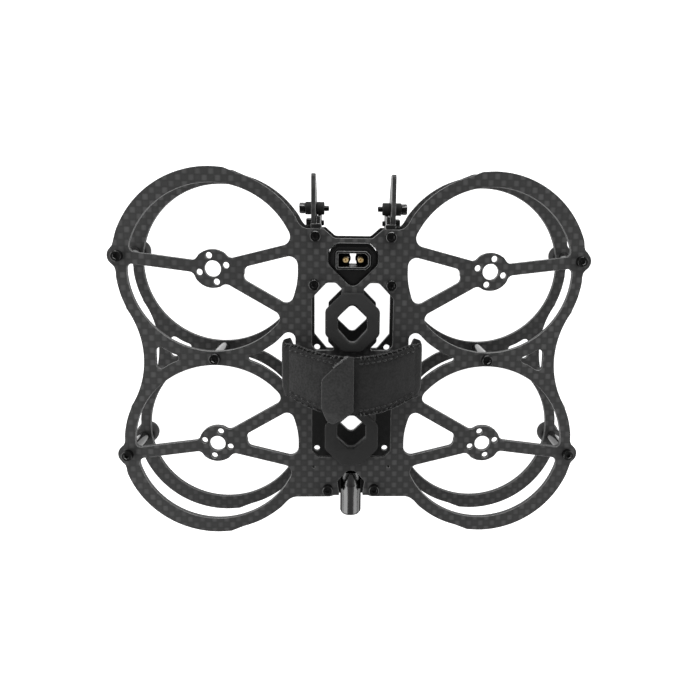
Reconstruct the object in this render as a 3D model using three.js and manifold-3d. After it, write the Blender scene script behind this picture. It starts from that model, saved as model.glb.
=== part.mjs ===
// A ducted micro quadcopter frame: two carbon plates on standoffs, with a power connector,
// battery pads, a battery strap, a camera mount and an antenna tube. Millimetres, +X right,
// +Y forward, +Z up, standing on its feet. The ducts are laid out around the middle of the motors.
import * as THREE from 'three';
import { mergeVertices } from 'three/addons/utils/BufferGeometryUtils.js';
import Module from 'manifold-3d';

const wasm = await Module();
wasm.setup();

// ---- driving dimensions ----
const MOTOR_X = 46;
const MOTOR_Y = 30.2;
const PLATE_T = 1.5;
const GAP = 15;
const FOOT_H = 5;
const TOUCH = 0.02;

const BORE_R = 27.8;
const RING_WIDE_R = 32.9;
const RING_SLIM_R = 32;
const RING_WAIST_R = 31.4;
const SLOT_R = 31.75;
const HUB_R = 6.4;
const HUB_HOLE_R = 2.7;
const BOLT_CIRCLE_R = 4.5;
const BOLT_HOLE_R = 1.05;
const BOLT_TURN = 15;
const M2_HOLE_R = 1.1;

const OUTER_SPOKE = { angle: 172.8, width: 4 };
const FRONT_SPOKE = { angle: 14.5, width: 3.9 };
const REAR_SPOKE = { angle: -30.1, width: 4.1 };
const WINDOW_TIP_R = 10.35;

const LUG = { x: 76.4, y: 34.1, r: 3.5, joinFront: 4.87, joinWaist: 5.2 };
const STEP = { wideAngle: 83, slimAngle: 75 };
const WAIST = { x: 69.6, r: 31.2, meetY: 17 };
const FRONT_EDGE_Y = 40.7;
const LOBE_Y = 43.7;
const REAR_EDGE_Y = -50;

const MID_POST = { x: 46, y: 0 };
const FRONT_POST = { x: 12.4, y: 41.3 };
const INNER_POST = { x: 12.8, y: 25.4 };
const REAR_SCREW = { x: 8.1, y: -47 };
const POST_R = 2;

const TAB = { near: 10.55, far: 13.9, rearY: 43.8, frontY: 45.3 };
const CAMERA_PLATE = { x: 13.25, thick: 1.4, rearY: 43.8, tipY: 61.6 };
const PIVOT = { y: 50.25, z: 14, washer: 2.3, washerR: 2.15, bobbin: 2.7, bobbinR: 2.15, screw: 8.1 };
const CLAMP = { y: 45.3, z: 9.9, headR: 1.6, headH: 2.3, screw: 3.9 };

const PAD_T = 2;
const PADS = [
  { name: 'front', y: 12.85, hole: { y: 12.4, half: 6.45, side: 2.1 } },
  { name: 'rear', y: -27.4, hole: { y: -25.45, half: 5.95, side: 2.4 } },
];
const STRAP = { side: 20.2, thick: 1.5, rear: -8, front: 7.3, topRear: -15.2, topFront: 4.2 };
const STRAP_RUN = { rear: -15.2, front: -3, half: 15, sideFront: -1.5 };
const STRAP_ARCH = { half: 22.3, shoulder: 2, rise: 8.6, power: 2.2 };
const STRAP_TAIL = { from: 0.02, to: -0.4, thick: 1.2, clear: 0.3 };

const BOTTOM_Z = FOOT_H;
const UNDER_Z = BOTTOM_Z - 0.6 - STRAP.thick;
const DECK_Z = FOOT_H + PLATE_T;
const CEILING_Z = DECK_Z + GAP;
const TOP_Z = CEILING_Z + PLATE_T;

const CONNECTOR = {
  y: 33.6, halfX: 5.7, halfY: 3.05, rimZ: TOP_Z + 1.2, floorZ: TOP_Z - 9, baseZ: TOP_Z - 12,
};
const PIN = { x: 2.5, r: 1 };
const TUBE = { r: 3.75, flareR: 4.2, bore: 2.9, tipBore: 1.6, z: CEILING_Z - 3.9, rearY: -58.3, frontY: -43 };
const HOLDER = { halfX: 10.3, rearY: -49.6, frontY: -44.5, slit: 4.85 };

// ---- plane curves ----
const rad = THREE.MathUtils.degToRad;
const at = (x, y) => new THREE.Vector2(x, y);
const polar = (c, r, degrees) => at(c.x + r * Math.cos(rad(degrees)), c.y + r * Math.sin(rad(degrees)));
const angleOf = (c, p) => THREE.MathUtils.radToDeg(Math.atan2(p.y - c.y, p.x - c.x));

// Points along an arc from one angle to another, in degrees, about every `step` degrees.
function arc(c, r, from, to, step = 8) {
  const count = Math.max(2, Math.ceil(Math.abs(to - from) / step));
  return Array.from({ length: count + 1 }, (_, i) => polar(c, r, from + ((to - from) * i) / count));
}

const circle = (c, r, count = 12) => arc(c, r, 0, 360, 360 / count).slice(0, -1);

// The point on segment ab that is closest to p.
function closestOnSegment(p, a, b) {
  const along = b.clone().sub(a);
  const t = THREE.MathUtils.clamp(p.clone().sub(a).dot(along) / along.lengthSq(), 0, 1);
  return a.clone().addScaledVector(along, t);
}

function closestOnRun(p, run) {
  let best = { distance: Infinity };
  for (let i = 0; i < run.length - 1; i++) {
    const point = closestOnSegment(p, run[i], run[i + 1]);
    const distance = point.distanceTo(p);
    if (distance < best.distance) best = { distance, point, index: i };
  }
  return best;
}

// Walks a distance along a run, giving the point, its segment and the segment's direction.
function walk(run, distance) {
  let left = distance;
  for (let i = 0; i < run.length - 1; i++) {
    const length = run[i].distanceTo(run[i + 1]);
    const direction = run[i + 1].clone().sub(run[i]).normalize();
    if (left <= length || i === run.length - 2) {
      const point = run[i].clone().addScaledVector(direction, Math.min(left, length));
      return { point, index: i, direction };
    }
    left -= length;
  }
  return null;
}

const runLength = (run) => run.slice(1).reduce((sum, p, i) => sum + p.distanceTo(run[i]), 0);

// Rounds the corner where run `before` ends and run `after` starts with an arc of radius r that
// touches both, and returns the two shortened runs with the arc between them.
function fillet(before, after, r) {
  const back = [...before].reverse();
  const inDirection = back[0].clone().sub(back[1]);
  const outDirection = after[1].clone().sub(after[0]);
  const turn = Math.sign(inDirection.cross(outDirection)) || 1;
  const centreAt = (distance) => {
    const spot = walk(back, distance);
    const side = at(spot.direction.y, -spot.direction.x).multiplyScalar(turn * r);
    return { centre: spot.point.clone().add(side), spot };
  };
  let low = 0;
  let high = runLength(back);
  for (let i = 0; i < 40; i++) {
    const middle = (low + high) / 2;
    if (closestOnRun(centreAt(middle).centre, after).distance < r) low = middle;
    else high = middle;
  }
  const { centre, spot } = centreAt(high);
  const touch = closestOnRun(centre, after);
  const from = angleOf(centre, spot.point);
  let to = angleOf(centre, touch.point);
  while (turn > 0 && to < from) to += 360;
  while (turn < 0 && to > from) to -= 360;
  return {
    before: [...before.slice(0, before.length - 1 - spot.index), spot.point],
    round: arc(centre, r, from, to, 30).slice(1, -1),
    after: [touch.point, ...after.slice(touch.index + 1)],
  };
}

// A closed outline from runs of points that meet end to end. Each run is { points, round },
// where round is the radius of the corner at its end, or 0 for a sharp one.
function outline(runs) {
  const kept = runs.map((run) => run.points);
  const arcs = runs.map(() => []);
  runs.forEach((run, i) => {
    const next = (i + 1) % runs.length;
    if (!run.round) return;
    const joined = fillet(kept[i], kept[next], run.round);
    kept[i] = joined.before;
    kept[next] = joined.after;
    arcs[i] = joined.round;
  });
  const points = kept.flatMap((run, i) => [...run, ...arcs[i]]);
  return points.filter((p, i) => p.distanceTo(points[(i + 1) % points.length]) > 0.01);
}

// Straight runs between corners [x, y, round].
const polygon = (corners) =>
  outline(
    corners.map((_, i) => {
      const [x, y] = corners[i];
      const [nextX, nextY, round] = corners[(i + 1) % corners.length];
      return { points: [at(x, y), at(nextX, nextY)], round: round || 0 };
    }),
  );

const mirrored = (points, sx, sy) => {
  const moved = points.map((p) => at(p.x * sx, p.y * sy));
  return sx * sy < 0 ? moved.reverse() : moved;
};

// ---- solids ----
function extruded(points, depth, holes = []) {
  const shape = new THREE.Shape(points);
  shape.holes = holes.map((hole) => new THREE.Path(hole));
  return new THREE.ExtrudeGeometry(shape, { depth, bevelEnabled: false, curveSegments: 12 });
}

// Turns an extrusion made in plan (x, y) so that its plan lies in the YZ plane, centred on x = 0.
const onEdge = (geometry, depth) =>
  geometry.rotateX(Math.PI / 2).rotateZ(Math.PI / 2).translate(-depth / 2, 0, 0);

// A solid of revolution about Z from [radius, z] pairs.
const turned = (profile, segments = 12) =>
  new THREE.LatheGeometry(profile.map(([r, z]) => at(r, z)), segments).rotateX(Math.PI / 2);

function toManifold(geometry) {
  const bare = new THREE.BufferGeometry();
  bare.setAttribute('position', geometry.getAttribute('position'));
  if (geometry.index) bare.setIndex(geometry.index);
  const merged = mergeVertices(bare, 1e-4);
  return new wasm.Manifold(
    new wasm.Mesh({
      numProp: 3,
      vertProperties: new Float32Array(merged.getAttribute('position').array),
      triVerts: new Uint32Array(merged.index.array),
    }),
  );
}

function fromManifold(solid) {
  const mesh = solid.getMesh();
  const geometry = new THREE.BufferGeometry();
  geometry.setAttribute('position', new THREE.BufferAttribute(mesh.vertProperties, 3));
  geometry.setIndex(new THREE.BufferAttribute(mesh.triVerts, 1));
  return geometry;
}

function box(x0, x1, y0, y1, z0, z1) {
  const block = new THREE.BoxGeometry(x1 - x0, y1 - y0, z1 - z0);
  return block.translate((x0 + x1) / 2, (y0 + y1) / 2, (z0 + z1) / 2);
}

// ---- finishes ----
const finish = (color, roughness, metalness) =>
  new THREE.MeshStandardMaterial({ color, roughness, metalness });
const CARBON = finish(0x3c3c3c, 0.55, 0);
const BLACK_STEEL = finish(0x141414, 0.4, 0.8);
const BLACK_ANODISED = finish(0x1a1a1a, 0.25, 0.9);
const RUBBER = finish(0x161616, 0.8, 0);
const PAD_RUBBER = finish(0x303030, 0.75, 0);
const BLACK_PLASTIC = finish(0x111111, 0.5, 0);
const GOLD = finish(0xd9b36a, 0.3, 1);
const WEBBING = finish(0x232323, 0.95, 0);
const WEBBING_LOOP = finish(0x343434, 0.95, 0);

const drone = new THREE.Group();

function add(name, geometry, material, x = 0, y = 0, z = 0) {
  const mesh = new THREE.Mesh(geometry, material);
  mesh.name = name;
  mesh.position.set(x, y, z);
  drone.add(mesh);
  return mesh;
}

// ---- plate outlines, drawn for the left front duct and mirrored to the others ----
const DUCT = { x: -MOTOR_X, y: MOTOR_Y };
const QUADRANTS = [[1, 1], [-1, 1], [1, -1], [-1, -1]];
const SIDES = [['left', -1], ['right', 1]];

// The edge of a spoke, from the circle of radius r0 about the hub out to the circle of radius r1.
function spokeEdge(spoke, side, r0, r1) {
  const half = spoke.width / 2;
  const tilt = (r) => spoke.angle + side * THREE.MathUtils.radToDeg(Math.asin(half / r));
  const points = [polar(DUCT, r0, tilt(r0)), polar(DUCT, r1, tilt(r1))];
  return { inner: tilt(r0), outer: tilt(r1), points };
}

// A duct opening between two spokes, counter-clockwise from the first to the second.
function ductOpening(first, second, innerR, round, tipRound) {
  const start = spokeEdge(first, 1, innerR, BORE_R);
  const end = spokeEdge(second, -1, innerR, BORE_R);
  const rimTo = end.outer > start.outer ? end.outer : end.outer + 360;
  const hubFrom = end.inner > start.inner ? end.inner : end.inner + 360;
  return outline([
    { points: start.points, round: round[0] },
    { points: arc(DUCT, BORE_R, start.outer, rimTo), round: round[1] },
    { points: [...end.points].reverse(), round: tipRound },
    { points: arc(DUCT, innerR, hubFrom, start.inner, 20), round: tipRound },
  ]);
}

function ductOpenings() {
  return [
    ductOpening(FRONT_SPOKE, OUTER_SPOKE, HUB_R, [3, 2], 2),
    ductOpening(REAR_SPOKE, FRONT_SPOKE, WINDOW_TIP_R, [2.4, 2.8], 2),
    ductOpening(OUTER_SPOKE, REAR_SPOKE, HUB_R, [1.6, 2.6], 2.2),
  ];
}

function hubHoles() {
  const bolts = [0, 90, 180, 270].map((turn) => polar(DUCT, BOLT_CIRCLE_R, BOLT_TURN + turn));
  return [circle(DUCT, HUB_HOLE_R, 16), ...bolts.map((c) => circle(c, BOLT_HOLE_R, 8))];
}

// Where the circle of radius r about the duct crosses the line y, on its inboard side.
const inboardX = (r, y) => DUCT.x + Math.sqrt(r * r - (y - DUCT.y) ** 2);

// The left half of the outline from the front edge's middle to the rear edge's middle.
function leftHalf() {
  const lug = { x: -LUG.x, y: LUG.y };
  const lugAngle = angleOf(DUCT, lug);
  const lobeX = inboardX(RING_SLIM_R, LOBE_Y);
  const waistCentre = { x: -WAIST.x - WAIST.r, y: 0 };
  const waistAngle = THREE.MathUtils.radToDeg(Math.asin(WAIST.meetY / WAIST.r));
  const waistStart = angleOf(DUCT, polar(waistCentre, WAIST.r, waistAngle)) + 360;
  const stepTop = polar(DUCT, RING_WIDE_R, STEP.wideAngle);
  const stepFoot = polar(DUCT, RING_SLIM_R, STEP.slimAngle);
  const ringEnd = polar(DUCT, RING_WIDE_R, lugAngle - LUG.joinFront);
  const waistTop = polar(DUCT, RING_WAIST_R, lugAngle + LUG.joinWaist);
  const lugRim = arc(lug, LUG.r, angleOf(lug, ringEnd), angleOf(lug, waistTop) + 360, 15);
  lugRim[0] = ringEnd;
  lugRim[lugRim.length - 1] = waistTop;
  const front = [
    { points: [at(0, FRONT_EDGE_Y), at(-6.3, FRONT_EDGE_Y)], round: 1.5 },
    { points: [at(-6.3, FRONT_EDGE_Y), at(-9.7, LOBE_Y)], round: 0.3 },
    { points: [at(-9.7, LOBE_Y), at(lobeX, LOBE_Y)], round: 4 },
    { points: arc(DUCT, RING_SLIM_R, angleOf(DUCT, { x: lobeX, y: LOBE_Y }), STEP.slimAngle), round: 2 },
    { points: [stepFoot, stepTop], round: 2 },
    { points: arc(DUCT, RING_WIDE_R, STEP.wideAngle, lugAngle - LUG.joinFront), round: 3 },
    { points: lugRim, round: 3 },
    { points: arc(DUCT, RING_WAIST_R, lugAngle + LUG.joinWaist, waistStart), round: 0 },
    { points: arc(waistCentre, WAIST.r, waistAngle, 0), round: 0 },
  ];
  const rearX = inboardX(RING_SLIM_R, -REAR_EDGE_Y);
  const mirrorRun = (run) => [...run.points].reverse().map((p) => at(p.x, -p.y));
  const ringRuns = front.slice(3).reverse();
  const rearRounds = [0, 3, 3, 2, 2, 5];
  const rear = ringRuns.map((run, i) => ({ points: mirrorRun(run), round: rearRounds[i] }));
  const slimEnd = angleOf(DUCT, { x: rearX, y: -REAR_EDGE_Y });
  rear[5].points = arc(DUCT, RING_SLIM_R, STEP.slimAngle, slimEnd).map((p) => at(p.x, -p.y));
  const edge = [
    { points: [at(rearX, REAR_EDGE_Y), at(-7.4, REAR_EDGE_Y)], round: 1.5 },
    { points: [at(-7.4, REAR_EDGE_Y), at(-5.8, REAR_EDGE_Y + 0.5)], round: 1.5 },
    { points: [at(-5.8, REAR_EDGE_Y + 0.5), at(-4.05, REAR_EDGE_Y + 0.5)], round: 0.3 },
    { points: [at(-4.05, REAR_EDGE_Y + 0.5), at(-4.8, REAR_EDGE_Y + 5.8)], round: 0.8 },
    { points: [at(-4.8, REAR_EDGE_Y + 5.8), at(0, REAR_EDGE_Y + 11)], round: 2.6 },
  ];
  return [...front, ...rear, ...edge];
}

function plateOutline() {
  const left = leftHalf();
  const right = [...left].reverse().map((run, i, all) => ({
    points: [...run.points].reverse().map((p) => at(-p.x, p.y)),
    round: i + 1 < all.length ? all[i + 1].round : 0,
  }));
  return outline([...left, ...right]);
}

// The hole in the web between the two ducts of a side.
function webHole() {
  const r = RING_SLIM_R - 0.2;
  const wallX = -65.6;
  const tip = at(DUCT.x - Math.sqrt(r * r - DUCT.y ** 2), 0);
  const wallY = DUCT.y - Math.sqrt(r * r - (wallX - DUCT.x) ** 2);
  const upper = arc(DUCT, r, angleOf(DUCT, tip), angleOf(DUCT, at(wallX, wallY)));
  return outline([
    { points: upper, round: 1.6 },
    { points: [at(wallX, wallY), at(wallX, -wallY)], round: 1.6 },
    { points: upper.map((p) => at(p.x, -p.y)).reverse(), round: 1.2 },
  ]);
}

// The opening beside the body that the battery strap passes through.
function strapSlot() {
  const wallX = -19.1;
  const wallY = DUCT.y - Math.sqrt(SLOT_R ** 2 - (wallX - DUCT.x) ** 2);
  const tip = at(inboardX(SLOT_R, 0), 0);
  const upper = arc(DUCT, SLOT_R, angleOf(DUCT, at(wallX, wallY)), angleOf(DUCT, tip));
  return outline([
    { points: upper, round: 0.8 },
    { points: upper.map((p) => at(p.x, -p.y)).reverse(), round: 2.3 },
    { points: [at(wallX, -wallY), at(wallX, wallY)], round: 2.3 },
  ]);
}

const connectorHole = () =>
  polygon([
    [-5.4, 39.3, 1.5], [-8.3, 36.4, 2], [-8.3, 32.2, 2.5], [0, 23.9, 2.5],
    [8.3, 32.2, 2.5], [8.3, 36.4, 2], [5.4, 39.3, 1.5],
  ]);

// The long window beside the spine, on the left. `ring` is the spine's half width.
const spineWindow = ({ top, bottom, ring, crown, foot, heel }) =>
  polygon([
    [-13.65, top - 5.3, 0.8], [-8.7, top, 1.8], [-5.7, top, 1.4], [-3.7, top - 2, 0.3],
    [-3.7, top - 4.2, 0.3], [-ring, crown, 1], [-ring, foot, 1], [-5.4, bottom, 0.6],
    [-heel, bottom, 1], [-13.65, bottom + (13.65 - heel) * 1.2, 1],
  ]);

const diamond = (y) =>
  polygon([[5.6, y, 0.9], [0, y + 5.4, 2], [-5.6, y, 0.9], [0, y - 5.4, 2]]);

// An eight-sided outline about (0, y), from the half of it above y, given for x > 0.
const octagon = (y, wide, shoulder, top, crown, round, crownRound) =>
  polygon([
    [wide, y + shoulder, round], [crown, y + top, crownRound], [-crown, y + top, crownRound],
    [-wide, y + shoulder, round], [-wide, y - shoulder, round], [-crown, y - top, crownRound],
    [crown, y - top, crownRound], [wide, y - shoulder, round],
  ]);

const padHole = ({ hole }) => octagon(hole.y, 4.95, hole.side, hole.half, 1, 1.2, 1.6);

const everyCorner = (holes) => holes.flatMap((hole) => QUADRANTS.map(([sx, sy]) => mirrored(hole, sx, sy)));
const bothSides = (holes) => holes.flatMap((hole) => [mirrored(hole, 1, 1), mirrored(hole, -1, 1)]);

function screwHoles() {
  const corners = everyCorner([circle({ x: LUG.x, y: LUG.y }, M2_HOLE_R, 8)]);
  const pairs = [MID_POST, FRONT_POST, INNER_POST, REAR_SCREW].map((c) => circle(c, M2_HOLE_R, 8));
  return [...corners, ...bothSides(pairs)];
}

function topPlate() {
  const front = spineWindow({ top: 26, bottom: 3, ring: 8.2, crown: 17.6, foot: 6, heel: 12.3 });
  const rear = polygon([
    [-13.6, -16, 1], [-10.6, -13, 1], [-5.4, -13, 0.6], [-8.2, -16, 1], [-8.2, -32.4, 1],
    [-5.4, -35.2, 0.6], [-11.5, -35.2, 1], [-13.6, -33.1, 1],
  ]);
  const holes = [
    ...everyCorner([...ductOpenings(), ...hubHoles()]),
    ...bothSides([webHole(), strapSlot(), front, rear, circle({ x: 13, y: -38.8 }, 0.5, 6)]),
    ...screwHoles(), connectorHole(), ...PADS.map(padHole),
  ];
  add('top_plate', extruded(plateOutline(), PLATE_T, holes), CARBON, 0, 0, CEILING_Z);
}

function bottomPlate() {
  const window = spineWindow({ top: 26, bottom: -0.2, ring: 8.6, crown: 16.8, foot: 3.6, heel: 9.2 });
  const boardHoles = [0.2, -38.8].map((y) => circle({ x: 12.7, y }, M2_HOLE_R, 8));
  const holes = [
    ...everyCorner([circle(DUCT, BORE_R, 44)]),
    ...bothSides([webHole(), strapSlot(), window, ...boardHoles]),
    ...screwHoles(), connectorHole(), diamond(10.95), diamond(-27.4),
  ];
  add('bottom_plate', extruded(plateOutline(), PLATE_T, holes), CARBON, 0, 0, BOTTOM_Z);
}

// ---- posts, screws and feet ----
const SCREW = { headR: 1.85, headH: 1.9, shankR: 0.98, socketR: 0.85, socketDepth: 1.1, length: 6 };
const LOW_HEAD = { ...SCREW, headH: 1.2, socketDepth: 0.7 };

// A cap screw whose head stands on z = 0 and points up.
function capScrew({ headR, headH, shankR, socketR, socketDepth, length }) {
  return turned(
    [[0, -length], [shankR, -length], [shankR, 0], [headR, 0], [headR, headH], [socketR, headH],
      [socketR, headH - socketDepth], [0, headH - socketDepth]],
    10,
  );
}

const post = () =>
  turned([[1.02, TOUCH], [POST_R, TOUCH], [POST_R, GAP - TOUCH], [1.02, GAP - TOUCH], [1.02, TOUCH]]);

// A foot with its screw's head sunk into it up to SEAT_Z.
const SEAT_Z = 2.6;
function foot() {
  return turned([
    [1.1, SEAT_Z], [2.1, SEAT_Z], [2.1, 0], [3.4, 0], [3.8, 0.5], [4, 1.6], [3.8, 3.9],
    [3.4, FOOT_H - TOUCH], [1.1, FOOT_H - TOUCH], [1.1, SEAT_Z],
  ]);
}

function fastenPost(name, x, y, footed) {
  add(`${name}_standoff`, post(), BLACK_ANODISED, x, y, DECK_Z);
  add(`${name}_top_screw`, capScrew(SCREW), BLACK_STEEL, x, y, TOP_Z + TOUCH);
  const seat = footed ? SEAT_Z : BOTTOM_Z;
  const low = { ...LOW_HEAD, length: LOW_HEAD.length + BOTTOM_Z - seat };
  const under = add(`${name}_bottom_screw`, capScrew(low), BLACK_STEEL, x, y, seat - TOUCH);
  under.rotation.x = Math.PI;
  if (footed) add(`${name}_foot`, foot(), RUBBER, x, y, 0);
}

function fasteners() {
  for (const [side, sx] of SIDES) {
    fastenPost(`front_${side}_lug`, sx * LUG.x, LUG.y, true);
    fastenPost(`rear_${side}_lug`, sx * LUG.x, -LUG.y, true);
    fastenPost(`middle_${side}`, sx * MID_POST.x, MID_POST.y, false);
    fastenPost(`nose_${side}`, sx * FRONT_POST.x, FRONT_POST.y, false);
    fastenPost(`body_${side}`, sx * INNER_POST.x, INNER_POST.y, false);
    const tailX = sx * REAR_SCREW.x;
    add(`tail_${side}_screw`, capScrew(SCREW), BLACK_STEEL, tailX, REAR_SCREW.y, TOP_Z + TOUCH);
  }
}

// ---- battery pads and strap ----
function batteryPads() {
  for (const pad of PADS) {
    const rim = octagon(pad.y, 9.1, 4.2, 10, 3.2, 2.2, 2.2);
    add(`${pad.name}_battery_pad`, extruded(rim, PAD_T, [padHole(pad)]), PAD_RUBBER, 0, 0, TOP_Z + TOUCH);
  }
}

// Points over the top of the strap between two fractions of its half width, `lift` outwards.
function strapArch(lift, from = 1, to = -1, count = 16) {
  const { half, shoulder, rise, power } = STRAP_ARCH;
  return Array.from({ length: count + 1 }, (_, i) => {
    const u = from + ((to - from) * i) / count;
    return at(u * (half + lift), TOP_Z + shoulder + (rise + lift) * (1 - Math.abs(u) ** power));
  });
}

// The strap's two sides and the arch that joins them, from its left foot to its right one.
function strapSides(lift) {
  const side = STRAP.side + lift;
  return [at(-side, UNDER_Z), at(-side, TOP_Z + 0.6), ...strapArch(lift, -1, 1),
    at(side, TOP_Z + 0.6), at(side, UNDER_Z)];
}

// The run under the frame, which slants back from the strap's sides to clear the openings.
function strapRun() {
  const side = STRAP.side + STRAP.thick;
  const { rear, front, half, sideFront } = STRAP_RUN;
  const plan = polygon([
    [side, sideFront], [half, front], [-half, front], [-side, sideFront],
    [-side, STRAP.rear], [-half, rear], [half, rear], [side, STRAP.rear],
  ]);
  return extruded(plan.reverse(), STRAP.thick).translate(0, 0, UNDER_Z);
}

// Turns an extrusion drawn in (x, z) so that it runs along +Y from y0.
const alongY = (geometry, y0, depth) => geometry.rotateX(Math.PI / 2).translate(0, y0 + depth, 0);

// What is cut off the front of the strap's sides, which slant back below the top plate.
function strapLean() {
  const ahead = STRAP.front + 1;
  const low = UNDER_Z - 1;
  const { sideFront } = STRAP_RUN;
  const wedge = [
    at(STRAP.front, TOP_Z - 1), at(sideFront, UNDER_Z + STRAP.thick), at(sideFront, low), at(ahead, low),
    at(ahead, TOP_Z - 1),
  ];
  return onEdge(extruded(wedge, 60), 60);
}

function strap() {
  const depth = STRAP.front - STRAP.rear;
  const sides = [...strapSides(0), ...strapSides(STRAP.thick).reverse()];
  const wide = STRAP.topFront - STRAP.topRear;
  const cover = [...strapArch(STRAP.thick), ...strapArch(0).reverse()];
  const parts = [
    alongY(extruded(sides, depth), STRAP.rear, depth), strapRun(),
    alongY(extruded(cover, wide), STRAP.topRear, wide),
  ];
  const whole = parts.map(toManifold).reduce((left, part) => left.add(part));
  add('battery_strap', fromManifold(whole.subtract(toManifold(strapLean()))), WEBBING);
  const { from, to, thick, clear } = STRAP_TAIL;
  const lift = STRAP.thick + clear;
  const tail = [...strapArch(lift + thick, from, to, 4), ...strapArch(lift, from, to, 4).reverse()];
  add('strap_free_end', alongY(extruded(tail, wide), STRAP.topRear, wide), WEBBING_LOOP);
}

// ---- power connector ----
const plugOutline = (halfX, halfY, round) => {
  const chamfer = halfY * 0.45;
  return polygon([
    [-halfX, -halfY, round], [halfX - chamfer, -halfY, round], [halfX, -halfY + chamfer, round],
    [halfX, halfY - chamfer, round], [halfX - chamfer, halfY, round], [-halfX, halfY, round],
  ]);
};

function powerConnector() {
  const { y, halfX, halfY, rimZ, floorZ, baseZ } = CONNECTOR;
  const bay = plugOutline(4.9, 2.25, 0.3);
  const pinHoles = [-PIN.x, PIN.x].map((x) => circle({ x, y: 0 }, PIN.r + 0.03));
  const slot = polygon([
    [-1.15, -2.15, 0.3], [1.15, -2.15, 0.3], [0.5, 0, 0.6],
    [1.15, 1.9, 0.3], [-1.15, 1.9, 0.3], [-0.5, 0, 0.6],
  ]);
  const shellRim = plugOutline(halfX, halfY, 0.7);
  const walls = extruded(shellRim, rimZ - floorZ, [bay]).translate(0, y, floorZ);
  const floor = extruded(shellRim, floorZ - baseZ, [...pinHoles, slot]).translate(0, y, baseZ);
  add('power_connector_shell', fromManifold(toManifold(walls).add(toManifold(floor))), BLACK_PLASTIC);
  powerPin('left', -PIN.x);
  powerPin('right', PIN.x);
  connectorHolder();
}

function powerPin(side, x) {
  const tail = CONNECTOR.baseZ - 2;
  const tip = CONNECTOR.rimZ - 1.1;
  const profile = [[0, tail], [PIN.r, tail], [PIN.r, tip - 0.5], [PIN.r - 0.4, tip], [0, tip]];
  add(`power_pin_${side}`, turned(profile, 16), GOLD, x, CONNECTOR.y, 0);
}

// The soft block that fills the gap under the plate's hole, with a collar round the connector.
function connectorHolder() {
  const { y, halfX, halfY } = CONNECTOR;
  const middleY = 31.6;
  const shrink = 0.96;
  const rim = connectorHole().map((p) => at(p.x * shrink, middleY + (p.y - middleY) * shrink));
  const seat = plugOutline(halfX + 0.1, halfY + 0.1, 0.8).map((p) => at(p.x, p.y + y));
  const collar = polygon([
    [-6.5, 32.6, 0.6], [-5.6, 30.1, 0.6], [5.6, 30.1, 0.6], [6.5, 32.6, 0.6],
    [6.5, 36, 0.6], [4.9, 37.8, 0.6], [-4.9, 37.8, 0.6], [-6.5, 36, 0.6],
  ]);
  const shelfZ = TOP_Z - 0.9;
  const body = extruded(rim, shelfZ - DECK_Z - TOUCH, [seat]).translate(0, 0, DECK_Z + TOUCH);
  const lip = extruded(collar, 1.5, [seat]).translate(0, 0, shelfZ);
  add('connector_holder', fromManifold(toManifold(body).add(toManifold(lip))), RUBBER);
}

// ---- camera mount ----
function cameraMount() {
  const { thick, rearY, tipY } = CAMERA_PLATE;
  const plate = polygon([
    [rearY, DECK_Z + 0.3, 0.4], [49.5, DECK_Z + 0.3, 6], [55.5, DECK_Z + 2.6, 6],
    [tipY, PIVOT.z + 1.2, 1.6], [tipY, CEILING_Z - 0.4, 1.4], [rearY, CEILING_Z - 0.4, 0.3],
  ]);
  const pivotHole = circle({ x: PIVOT.y, y: PIVOT.z }, M2_HOLE_R);
  const clampHole = circle({ x: CLAMP.y, y: CLAMP.z }, M2_HOLE_R);
  for (const [side, sx] of SIDES) {
    const sheet = onEdge(extruded(plate, thick, [pivotHole, clampHole]), thick);
    add(`camera_plate_${side}`, sheet, CARBON, sx * CAMERA_PLATE.x, 0, 0);
    cameraBracket(side, sx, clampHole);
    cameraPivot(side, sx);
  }
}

const sleeve = (r, z0, z1) => turned([[1.02, z0], [r, z0], [r, z1], [1.02, z1], [1.02, z0]]);

// The screw, washer and bobbin that a camera's side turns on, and the screw below them.
function cameraPivot(side, sx) {
  const face = CAMERA_PLATE.thick / 2;
  const addFacing = (name, geometry, material, out, y, z) => {
    const mesh = add(`${name}_${side}`, geometry, material, sx * (CAMERA_PLATE.x + out), y, z);
    mesh.rotation.y = (sx * Math.PI) / 2;
  };
  const pivotScrew = capScrew({ ...SCREW, length: PIVOT.screw });
  addFacing('camera_pivot_screw', pivotScrew, BLACK_STEEL, face + PIVOT.washer + 0.1, PIVOT.y, PIVOT.z);
  addFacing('camera_washer', sleeve(PIVOT.washerR, 0.1, PIVOT.washer), RUBBER, face, PIVOT.y, PIVOT.z);
  addFacing('camera_bobbin', sleeve(PIVOT.bobbinR, -PIVOT.bobbin, -0.1), RUBBER, -face, PIVOT.y, PIVOT.z);
  const clampScrew = capScrew({ ...SCREW, headR: CLAMP.headR, headH: CLAMP.headH, length: CLAMP.screw });
  addFacing('camera_clamp_screw', clampScrew, BLACK_STEEL, face + TOUCH, CLAMP.y, CLAMP.z);
}

// A wall beside the camera plate, with a tab that stands up in front of the top plate's edge.
function cameraBracket(side, sx, clampHole) {
  const thick = 1.2;
  const rearY = 43.4;
  const low = DECK_Z + 0.1;
  const high = CEILING_Z - 0.1;
  const block = [
    at(rearY, low), at(49.2, low), at(49.2, 11.2), at(47.8, 12), at(47.8, high), at(rearY, high),
  ];
  const wall = onEdge(extruded(block, thick, [clampHole]), thick).translate(sx * 11.55, 0, 0);
  const tabX = [sx * TAB.near, sx * TAB.far].sort((a, b) => a - b);
  const tab = box(tabX[0], tabX[1], TAB.rearY, TAB.frontY, high - 0.1, TOP_Z - 0.1);
  add(`camera_bracket_${side}`, fromManifold(toManifold(wall).add(toManifold(tab))), BLACK_PLASTIC);
}

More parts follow.
